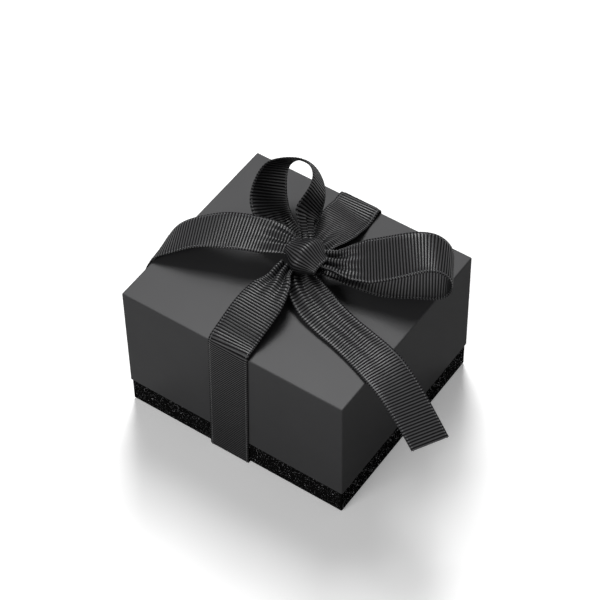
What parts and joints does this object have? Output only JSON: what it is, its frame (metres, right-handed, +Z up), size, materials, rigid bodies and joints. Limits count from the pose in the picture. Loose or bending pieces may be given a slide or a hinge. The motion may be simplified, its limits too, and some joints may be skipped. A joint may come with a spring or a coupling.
{
  "type": "gift box",
  "caption": "Low rectangular rigid gift box with a lift-off lid on an inner neck, a glittered base and a ribbon tied round it in a bow.",
  "frame": {"origin": "centre of the box's footprint at table level, on the underside of the ribbon's run under the base", "axes": "+X along the long front face to its right, +Y to the back, +Z up"},
  "size_m": [0.1254, 0.0812, 0.0856],
  "materials": {
    "satin_paper": "satin laminated, dark grey to black",
    "glitter_paper": "black glitter grains",
    "lining_paper": "matt black",
    "greyboard": "bare, covered by paper",
    "corner_tape": "gummed kraft tape, under the covering",
    "grosgrain_ribbon": "black cross-ribbed weave with a plain woven edge"
  },
  "bodies": {
    "base": {"base_back_board": "greyboard", "base_corner_tapes": "corner_tape", "base_floor_board": "greyboard", "base_front_board": "greyboard", "base_glitter_wrap": "glitter_paper", "base_left_board": "greyboard", "base_lining_sheet": "lining_paper", "base_right_board": "greyboard", "neck_back_board": "greyboard", "neck_front_board": "greyboard", "neck_left_board": "greyboard", "neck_right_board": "greyboard", "neck_wrap": "lining_paper", "ribbon_under_run": "grosgrain_ribbon"},
    "lid": {"lid_back_board": "greyboard", "lid_corner_tapes": "corner_tape", "lid_front_board": "greyboard", "lid_left_board": "greyboard", "lid_lining": "lining_paper", "lid_right_board": "greyboard", "lid_top_board": "greyboard", "lid_wrap": "satin_paper"},
    "ribbon": {"bow_knot_core": "grosgrain_ribbon", "bow_knot_wrap": "grosgrain_ribbon", "bow_loop_right": "grosgrain_ribbon", "bow_loop_upright": "grosgrain_ribbon", "bow_tail_left": "grosgrain_ribbon", "bow_tail_right": "grosgrain_ribbon", "ribbon_back_run": "grosgrain_ribbon", "ribbon_front_run": "grosgrain_ribbon", "ribbon_top_back": "grosgrain_ribbon", "ribbon_top_front": "grosgrain_ribbon"}
  },
  "joints": [
    {"name": "lid_lift", "type": "slide", "parent": "base", "child": "lid", "axis": [0, 0, 1], "range_m": [0, 0.05]},
    {"name": "ribbon_lift", "type": "slide", "parent": "lid", "child": "ribbon", "axis": [0, 0, 1], "range_m": [0, 0.065]}
  ]
}
